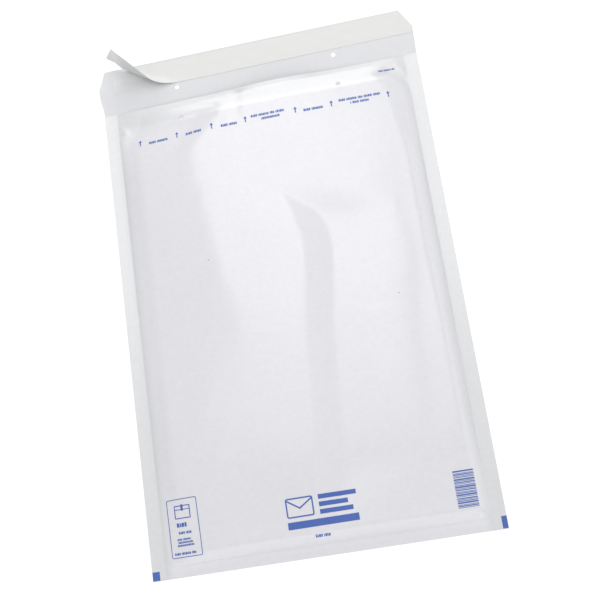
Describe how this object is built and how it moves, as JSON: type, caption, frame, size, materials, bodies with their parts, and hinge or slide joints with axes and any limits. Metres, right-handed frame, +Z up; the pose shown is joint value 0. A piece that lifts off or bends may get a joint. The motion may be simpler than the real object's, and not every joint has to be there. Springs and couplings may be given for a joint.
{
  "type": "padded envelope",
  "caption": "White paper envelope lined with bubble film, its flap open and its adhesive cover strip partly peeled, for posting flat goods.",
  "frame": {"origin": "middle of the whole envelope's outline, open flap and peeled strip included, on the plane that it lies on", "axes": "+X across the envelope to the right, +Y along it from the bottom fold to the flap, +Z up out of the front panel"},
  "size_m": [0.32, 0.5162, 0.0334],
  "materials": {
    "white_paper": "smooth white kraft paper with a slight sheen",
    "bubble_film": "clear film over round bubbles",
    "glue": "clear tacky glue",
    "strip_paper": "silicone-coated backing paper"
  },
  "bodies": {
    "root": {"paper_cover": "white_paper", "bubble_liner": "bubble_film", "adhesive_strip": "glue", "release_liner": "strip_paper"}
  },
  "joints": []
}
